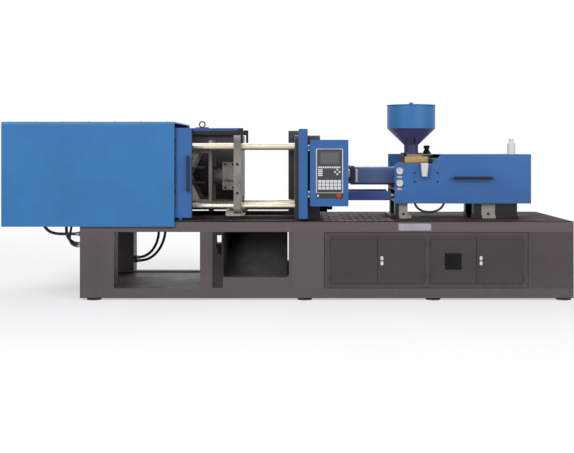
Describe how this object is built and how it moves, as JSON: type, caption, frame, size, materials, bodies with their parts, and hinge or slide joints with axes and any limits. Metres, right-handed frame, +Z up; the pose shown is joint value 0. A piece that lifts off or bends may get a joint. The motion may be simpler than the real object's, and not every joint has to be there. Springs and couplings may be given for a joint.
{
  "type": "horizontal injection moulding machine",
  "caption": "Horizontal toggle-clamp injection moulding machine with a blue guard, platens on tie bars, control box, hopper and injection unit on a steel base.",
  "frame": {"origin": "on the floor, below the centre of the machine's box", "axes": "+X along the machine from the clamp to the injection end, +Y away from the operator, +Z up"},
  "size_m": [5.286, 1.29, 1.859],
  "materials": {
    "guard_blue": "satin paint",
    "deep_blue": "satin paint",
    "base_brown": "satin paint",
    "rail_grey": "satin paint",
    "black_paint": "satin paint",
    "casting_grey": "machine enamel",
    "link_grey": "machine enamel",
    "bright_steel": "ground",
    "chrome": "polished",
    "brass": "worn",
    "white_plastic": "matte",
    "panel_plastic": "membrane",
    "red_plastic": "gloss",
    "black_plastic": "matte",
    "window": "clear sheet",
    "hose_rubber": "matte"
  },
  "bodies": {
    "base": {"base_frame": "base_brown", "deck_plate": "rail_grey", "cabinet_panels": "base_brown", "drop_chute": "black_paint", "oil_tank": "base_brown", "pump_motor": "casting_grey", "levelling_feet": "bright_steel", "clamp_guard": "guard_blue", "rear_platen": "casting_grey", "fixed_platen": "casting_grey", "tie_bars": "bright_steel", "clamp_cylinder": "casting_grey", "door_rails": "deep_blue", "column_covers": "guard_blue", "carriage_rods": "bright_steel", "injection_supports": "black_paint", "carriage_cylinders": "deep_blue", "hose_guard_long": "hose_rubber", "hose_guard_front": "hose_rubber", "hose_guard_rear": "hose_rubber", "hose_lower_near": "hose_rubber", "hose_lower_far": "hose_rubber"},
    "platen": {"moving_platen": "casting_grey", "ejector_housing": "casting_grey"},
    "ejector": {"ejector_bar": "bright_steel"},
    "crosshead": {"crosshead": "link_grey"},
    "upper_rear_link": {"upper_rear_links": "link_grey"},
    "upper_front_link": {"upper_front_links": "link_grey"},
    "upper_short_link": {"upper_short_links": "link_grey"},
    "lower_rear_link": {"lower_rear_links": "link_grey"},
    "lower_front_link": {"lower_front_links": "link_grey"},
    "lower_short_link": {"lower_short_links": "link_grey"},
    "front_door": {"front_door": "guard_blue", "front_door_window": "window", "front_door_handle": "black_plastic"},
    "rear_door": {"rear_door": "guard_blue"},
    "control_box": {"control_box": "guard_blue", "control_panel": "panel_plastic"},
    "emergency_stop": {"emergency_stop": "red_plastic"},
    "key_switch": {"key_switch": "chrome"},
    "carriage": {"carriage_frame": "casting_grey", "barrel": "bright_steel", "barrel_cover": "deep_blue", "injection_cylinders": "casting_grey", "injection_cover": "guard_blue", "hopper": "guard_blue", "hopper_base": "brass", "discharge_chute": "white_plastic", "lubricator": "white_plastic", "hose_injection": "hose_rubber"},
    "hopper_lid": {"hopper_lid": "guard_blue"},
    "screw_drive": {"screw_motor": "black_paint"},
    "screw": {"screw": "bright_steel"},
    "hopper_gate": {"hopper_gate": "brass"},
    "cabinet_door_1": {"cabinet_door_1": "base_brown"},
    "cabinet_door_2": {"cabinet_door_2": "base_brown"},
    "cabinet_door_3": {"cabinet_door_3": "base_brown"},
    "cabinet_door_4": {"cabinet_door_4": "base_brown"},
    "latch_left": {"door_latch_left": "chrome"},
    "latch_right": {"door_latch_right": "chrome"}
  },
  "joints": [
    {"name": "platen_slide", "type": "slide", "parent": "base", "child": "platen", "axis": [1, 0, 0], "range_m": [0, 0.273]},
    {"name": "ejector_push", "type": "slide", "parent": "platen", "child": "ejector", "axis": [1, 0, 0], "range_m": [0, 0.08]},
    {"name": "crosshead_slide", "type": "slide", "parent": "base", "child": "crosshead", "axis": [1, 0, 0], "range_m": [0, 0.19971]},
    {"name": "upper_rear_link_swing", "type": "hinge", "parent": "base", "child": "upper_rear_link", "pos_m": [-1.10913, 0, 1.404], "axis": [0, -1, 0], "range_deg": [0, 56]},
    {"name": "upper_knee", "type": "hinge", "parent": "upper_rear_link", "child": "upper_front_link", "pos_m": [-0.98706, 0, 1.17443], "axis": [0, 1, 0], "range_deg": [0, 112]},
    {"name": "upper_short_link_swing", "type": "hinge", "parent": "crosshead", "child": "upper_short_link", "pos_m": [-1.11996, 0, 1.244], "axis": [0, -1, 0], "range_deg": [0, 89.94]},
    {"name": "lower_rear_link_swing", "type": "hinge", "parent": "base", "child": "lower_rear_link", "pos_m": [-1.10913, 0, 0.864], "axis": [0, 1, 0], "range_deg": [0, 56]},
    {"name": "lower_knee", "type": "hinge", "parent": "lower_rear_link", "child": "lower_front_link", "pos_m": [-0.98706, 0, 1.09357], "axis": [0, -1, 0], "range_deg": [0, 112]},
    {"name": "lower_short_link_swing", "type": "hinge", "parent": "crosshead", "child": "lower_short_link", "pos_m": [-1.11996, 0, 1.024], "axis": [0, 1, 0], "range_deg": [0, 89.94]},
    {"name": "front_door_slide", "type": "slide", "parent": "base", "child": "front_door", "axis": [1, 0, 0], "range_m": [0, 0.989]},
    {"name": "rear_door_slide", "type": "slide", "parent": "base", "child": "rear_door", "axis": [1, 0, 0], "range_m": [-0.403, 0.491]},
    {"name": "control_box_swing", "type": "hinge", "parent": "base", "child": "control_box", "pos_m": [0.1952, -0.6195, 1.176], "axis": [0, 0, -1], "range_deg": [0, 95]},
    {"name": "emergency_stop_push", "type": "slide", "parent": "control_box", "child": "emergency_stop", "axis": [0, 1, 0], "range_m": [0, 0.005]},
    {"name": "key_turn", "type": "hinge", "parent": "control_box", "child": "key_switch", "pos_m": [0.278, -0.639, 0.967], "axis": [0, 1, 0], "range_deg": [0, 90]},
    {"name": "carriage_slide", "type": "slide", "parent": "base", "child": "carriage", "axis": [1, 0, 0], "range_m": [-0.14, 0.09]},
    {"name": "screw_retract", "type": "slide", "parent": "carriage", "child": "screw_drive", "axis": [1, 0, 0], "range_m": [0, 0.18]},
    {"name": "screw_turn", "type": "hinge", "parent": "screw_drive", "child": "screw", "pos_m": [1.902, 0, 1.134], "axis": [1, 0, 0], "continuous": true},
    {"name": "hopper_lid_lift", "type": "slide", "parent": "carriage", "child": "hopper_lid", "axis": [0, 0, 1], "range_m": [0, 0.3]},
    {"name": "hopper_gate_pull", "type": "slide", "parent": "carriage", "child": "hopper_gate", "axis": [0, -1, 0], "range_m": [0, 0.11]},
    {"name": "cabinet_door_1_swing", "type": "hinge", "parent": "base", "child": "cabinet_door_1", "pos_m": [0.394, -0.6313, 0.371], "axis": [0, 0, -1], "range_deg": [0, 90]},
    {"name": "cabinet_door_2_swing", "type": "hinge", "parent": "base", "child": "cabinet_door_2", "pos_m": [1.266, -0.6313, 0.371], "axis": [0, 0, 1], "range_deg": [0, 90]},
    {"name": "cabinet_door_3_swing", "type": "hinge", "parent": "base", "child": "cabinet_door_3", "pos_m": [1.316, -0.6313, 0.371], "axis": [0, 0, -1], "range_deg": [0, 90]},
    {"name": "cabinet_door_4_swing", "type": "hinge", "parent": "base", "child": "cabinet_door_4", "pos_m": [2.174, -0.6313, 0.371], "axis": [0, 0, 1], "range_deg": [0, 90]},
    {"name": "latch_left_turn", "type": "hinge", "parent": "cabinet_door_2", "child": "latch_left", "pos_m": [0.869, -0.6313, 0.38548], "axis": [0, -1, 0], "range_deg": [0, 90]},
    {"name": "latch_right_turn", "type": "hinge", "parent": "cabinet_door_4", "child": "latch_right", "pos_m": [1.784, -0.6313, 0.38548], "axis": [0, -1, 0], "range_deg": [0, 90]}
  ],
  "couplings": [
    {"joint": "crosshead_slide", "follows": "platen_slide", "ratio": 0.73145},
    {"joint": "upper_rear_link_swing", "follows": "platen_slide", "rad_per_m": 3.5798},
    {"joint": "upper_knee", "follows": "platen_slide", "rad_per_m": 7.1596},
    {"joint": "upper_short_link_swing", "follows": "platen_slide", "rad_per_m": 5.7496},
    {"joint": "lower_rear_link_swing", "follows": "platen_slide", "rad_per_m": 3.5798},
    {"joint": "lower_knee", "follows": "platen_slide", "rad_per_m": 7.1596},
    {"joint": "lower_short_link_swing", "follows": "platen_slide", "rad_per_m": 5.7496}
  ]
}
